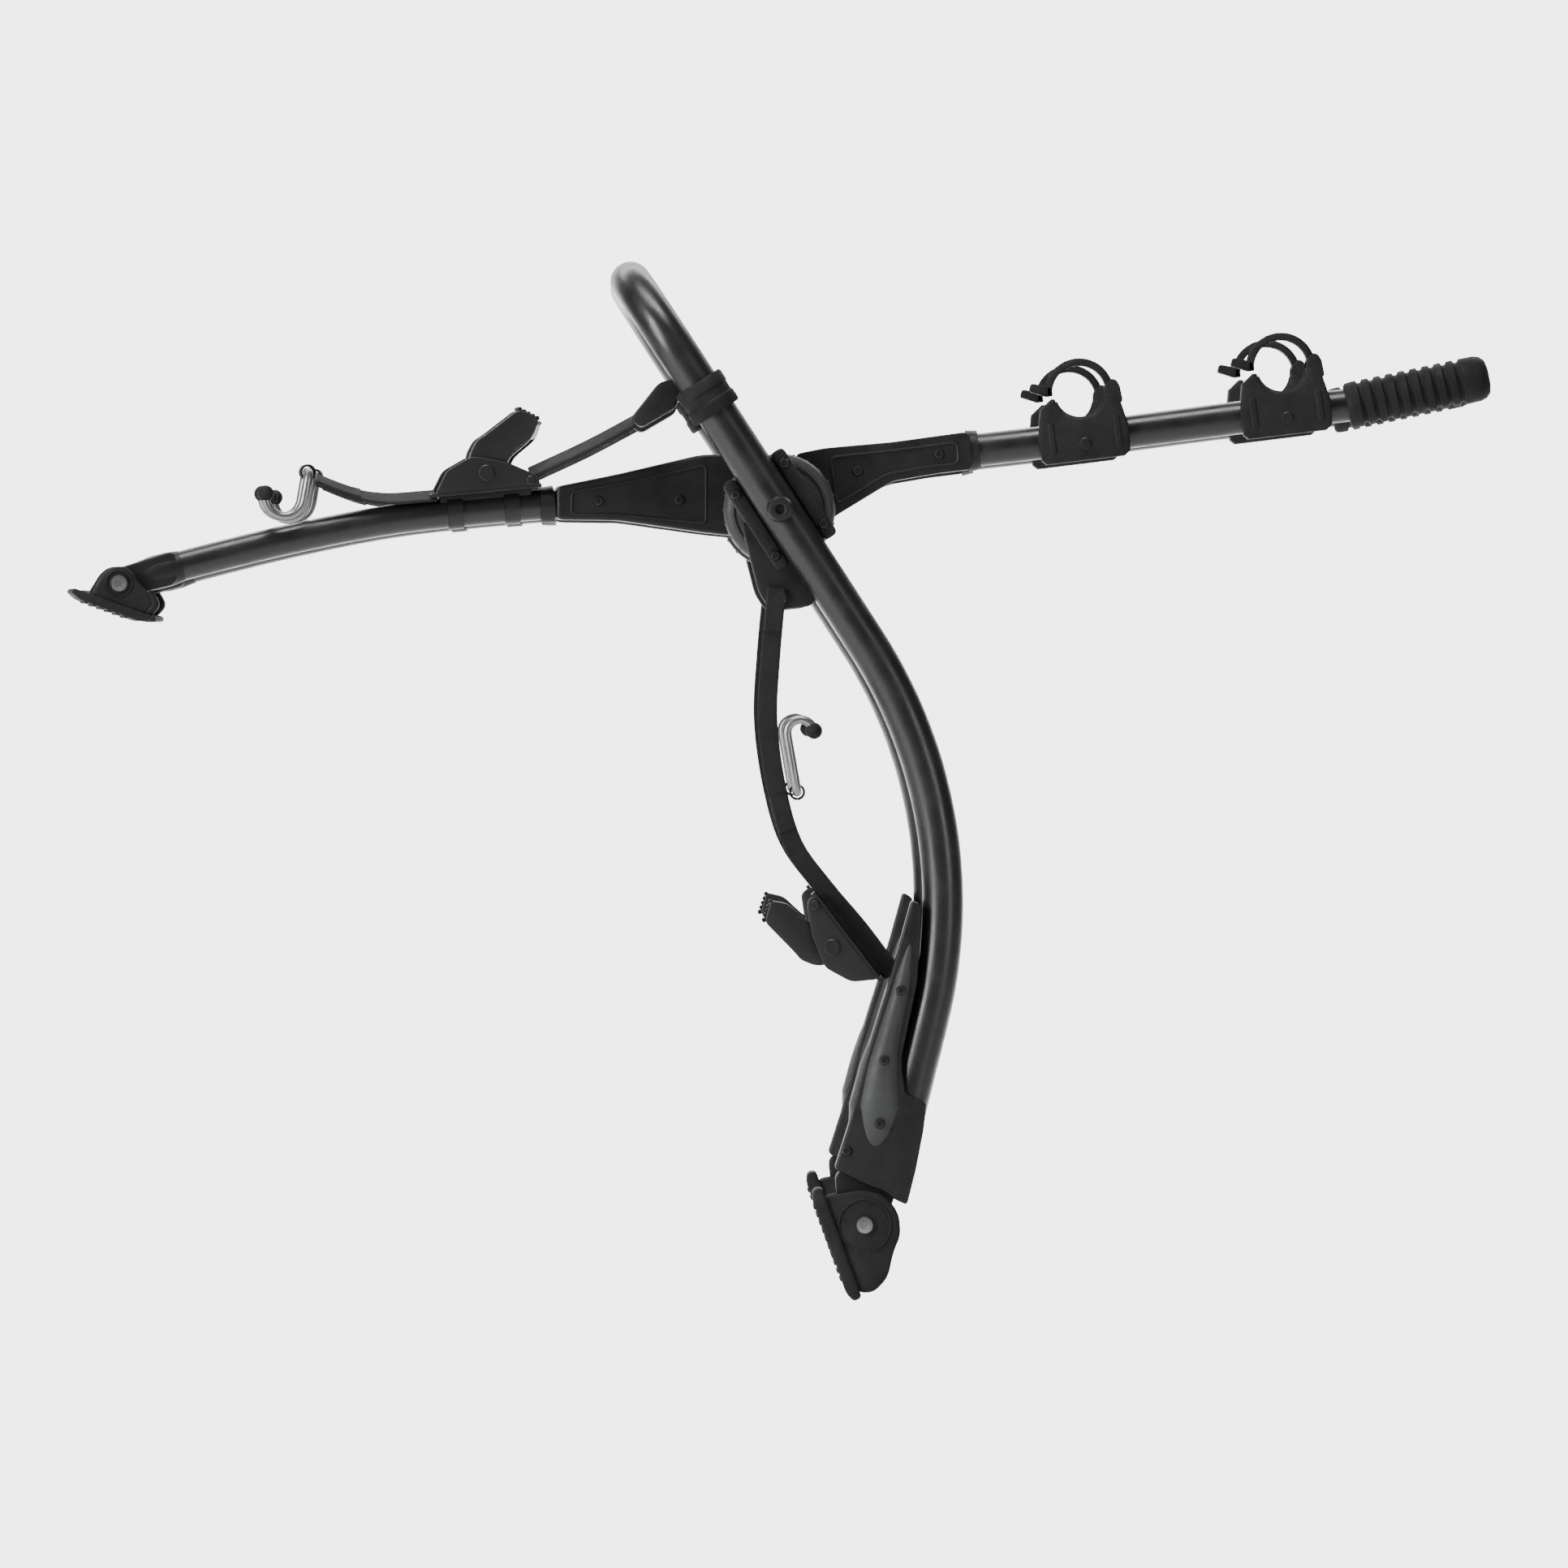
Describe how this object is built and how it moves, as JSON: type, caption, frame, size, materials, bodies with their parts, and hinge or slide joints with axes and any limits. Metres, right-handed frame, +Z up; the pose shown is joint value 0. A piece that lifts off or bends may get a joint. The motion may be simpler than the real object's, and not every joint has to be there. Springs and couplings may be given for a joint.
{
  "type": "trunk mounted bike rack",
  "caption": "Strap-on rack for a car's trunk: a bent hoop with folding arms whose cradles carry bicycles crosswise, folding legs with rubber feet, and webbing straps with ratchets and hooks.",
  "frame": {"origin": "the middle of the hub axis, between the two hubs", "axes": "+X rearwards from the car, +Y across the car towards its right side, +Z up"},
  "size_m": [0.9463, 0.428, 0.6868],
  "materials": {
    "powder_coat": "black satin powder coat",
    "hub_plastic": "charcoal moulded nylon, fine grain",
    "black_plastic": "black moulded nylon, fine grain",
    "rubber": "black matt rubber",
    "webbing": "black woven polyester webbing",
    "steel": "bright zinc-plated steel",
    "dark_steel": "black zinc-plated steel"
  },
  "bodies": {
    "frame": {"main_hoop": "powder_coat", "axle_tube": "dark_steel", "hub_casing_left": "hub_plastic", "hub_saddle_left": "hub_plastic", "hub_bolt_left": "dark_steel", "axle_collar_left": "dark_steel", "lower_shank_left": "black_plastic", "lower_foot_pin_left": "steel", "strap_anchor_left": "rubber", "lower_strap_left": "webbing", "lower_buckle_left": "dark_steel", "lower_hook_left": "steel", "upper_strap_tail_left": "webbing", "hub_casing_right": "hub_plastic", "hub_saddle_right": "hub_plastic", "hub_bolt_right": "dark_steel", "axle_collar_right": "dark_steel", "lower_shank_right": "black_plastic", "lower_foot_pin_right": "steel", "strap_anchor_right": "rubber", "lower_strap_right": "webbing", "lower_buckle_right": "dark_steel", "lower_hook_right": "steel", "upper_strap_tail_right": "webbing"},
    "left_leg": {"leg_socket_left": "black_plastic", "leg_tube_left": "powder_coat", "upper_foot_pin_left": "steel", "upper_buckle_left": "dark_steel", "upper_strap_left": "webbing", "upper_hook_left": "steel"},
    "left_upper_foot": {"upper_foot_left": "rubber"},
    "left_upper_ratchet": {"upper_ratchet_handle_left": "dark_steel"},
    "left_lower_foot": {"lower_foot_left": "rubber"},
    "left_lower_ratchet": {"lower_ratchet_handle_left": "dark_steel"},
    "left_arm": {"arm_socket_left": "black_plastic", "arm_tube_left": "powder_coat", "arm_tip_left": "rubber", "cradle_inner_left": "rubber", "cradle_outer_left": "rubber"},
    "left_arm_lock": {"arm_lock_plunger_left": "steel"},
    "left_inner_cradle_strap": {"cradle_strap_inner_left": "rubber"},
    "left_outer_cradle_strap": {"cradle_strap_outer_left": "rubber"},
    "right_leg": {"leg_socket_right": "black_plastic", "leg_tube_right": "powder_coat", "upper_foot_pin_right": "steel", "upper_buckle_right": "dark_steel", "upper_strap_right": "webbing", "upper_hook_right": "steel"},
    "right_upper_foot": {"upper_foot_right": "rubber"},
    "right_upper_ratchet": {"upper_ratchet_handle_right": "dark_steel"},
    "right_lower_foot": {"lower_foot_right": "rubber"},
    "right_lower_ratchet": {"lower_ratchet_handle_right": "dark_steel"},
    "right_arm": {"arm_socket_right": "black_plastic", "arm_tube_right": "powder_coat", "arm_tip_right": "rubber", "cradle_inner_right": "rubber", "cradle_outer_right": "rubber"},
    "right_arm_lock": {"arm_lock_plunger_right": "steel"},
    "right_inner_cradle_strap": {"cradle_strap_inner_right": "rubber"},
    "right_outer_cradle_strap": {"cradle_strap_outer_right": "rubber"}
  },
  "joints": [
    {"name": "left_leg_fold", "type": "hinge", "parent": "frame", "child": "left_leg", "pos_m": [0, -0.1035, 0], "axis": [0, -1, 0], "range_deg": [-10, 60], "deforming": ["upper_strap_tail_left"]},
    {"name": "left_upper_foot_tilt", "type": "hinge", "parent": "left_leg", "child": "left_upper_foot", "pos_m": [-0.43958, -0.1497, -0.049], "axis": [-0.1045, 0.9945, 0], "range_deg": [-15, 15]},
    {"name": "left_upper_ratchet_swing", "type": "hinge", "parent": "left_leg", "child": "left_upper_ratchet", "pos_m": [-0.19618, -0.12412, 0.02463], "axis": [0.1045, -0.9945, 0], "range_deg": [-5, 80]},
    {"name": "left_lower_foot_tilt", "type": "hinge", "parent": "frame", "child": "left_lower_foot", "pos_m": [0.056, -0.19, -0.473], "axis": [0, 1, 0], "range_deg": [-12, 12]},
    {"name": "left_lower_ratchet_swing", "type": "hinge", "parent": "frame", "child": "left_lower_ratchet", "pos_m": [0.03447, -0.19, -0.28933], "axis": [0, -1, 0], "range_deg": [-5, 80]},
    {"name": "left_arm_fold", "type": "hinge", "parent": "frame", "child": "left_arm", "pos_m": [0, -0.133, 0], "axis": [0, 1, 0], "range_deg": [-15, 80]},
    {"name": "left_arm_lock_pull", "type": "slide", "parent": "left_arm", "child": "left_arm_lock", "axis": [0, 1, 0], "range_m": [0, 0.006], "stiffness_N_per_m": 600},
    {"name": "left_inner_cradle_strap_lift", "type": "hinge", "parent": "left_arm", "child": "left_inner_cradle_strap", "pos_m": [0.22094, -0.133, 0.08244], "axis": [0, 1, 0], "range_deg": [0, 110]},
    {"name": "left_outer_cradle_strap_lift", "type": "hinge", "parent": "left_arm", "child": "left_outer_cradle_strap", "pos_m": [0.35494, -0.133, 0.09944], "axis": [0, 1, 0], "range_deg": [0, 110]},
    {"name": "right_leg_fold", "type": "hinge", "parent": "frame", "child": "right_leg", "pos_m": [0, 0.1035, 0], "axis": [0, -1, 0], "range_deg": [-10, 60], "deforming": ["upper_strap_tail_right"]},
    {"name": "right_upper_foot_tilt", "type": "hinge", "parent": "right_leg", "child": "right_upper_foot", "pos_m": [-0.43958, 0.1497, -0.049], "axis": [0.1045, 0.9945, 0], "range_deg": [-15, 15]},
    {"name": "right_upper_ratchet_swing", "type": "hinge", "parent": "right_leg", "child": "right_upper_ratchet", "pos_m": [-0.19618, 0.12412, 0.02463], "axis": [-0.1045, -0.9945, 0], "range_deg": [-5, 80]},
    {"name": "right_lower_foot_tilt", "type": "hinge", "parent": "frame", "child": "right_lower_foot", "pos_m": [0.056, 0.19, -0.473], "axis": [0, 1, 0], "range_deg": [-12, 12]},
    {"name": "right_lower_ratchet_swing", "type": "hinge", "parent": "frame", "child": "right_lower_ratchet", "pos_m": [0.03447, 0.19, -0.28933], "axis": [0, -1, 0], "range_deg": [-5, 80]},
    {"name": "right_arm_fold", "type": "hinge", "parent": "frame", "child": "right_arm", "pos_m": [0, 0.133, 0], "axis": [0, 1, 0], "range_deg": [-15, 80]},
    {"name": "right_arm_lock_pull", "type": "slide", "parent": "right_arm", "child": "right_arm_lock", "axis": [0, -1, 0], "range_m": [0, 0.006], "stiffness_N_per_m": 600},
    {"name": "right_inner_cradle_strap_lift", "type": "hinge", "parent": "right_arm", "child": "right_inner_cradle_strap", "pos_m": [0.22094, 0.133, 0.08244], "axis": [0, 1, 0], "range_deg": [0, 110]},
    {"name": "right_outer_cradle_strap_lift", "type": "hinge", "parent": "right_arm", "child": "right_outer_cradle_strap", "pos_m": [0.35494, 0.133, 0.09944], "axis": [0, 1, 0], "range_deg": [0, 110]}
  ]
}
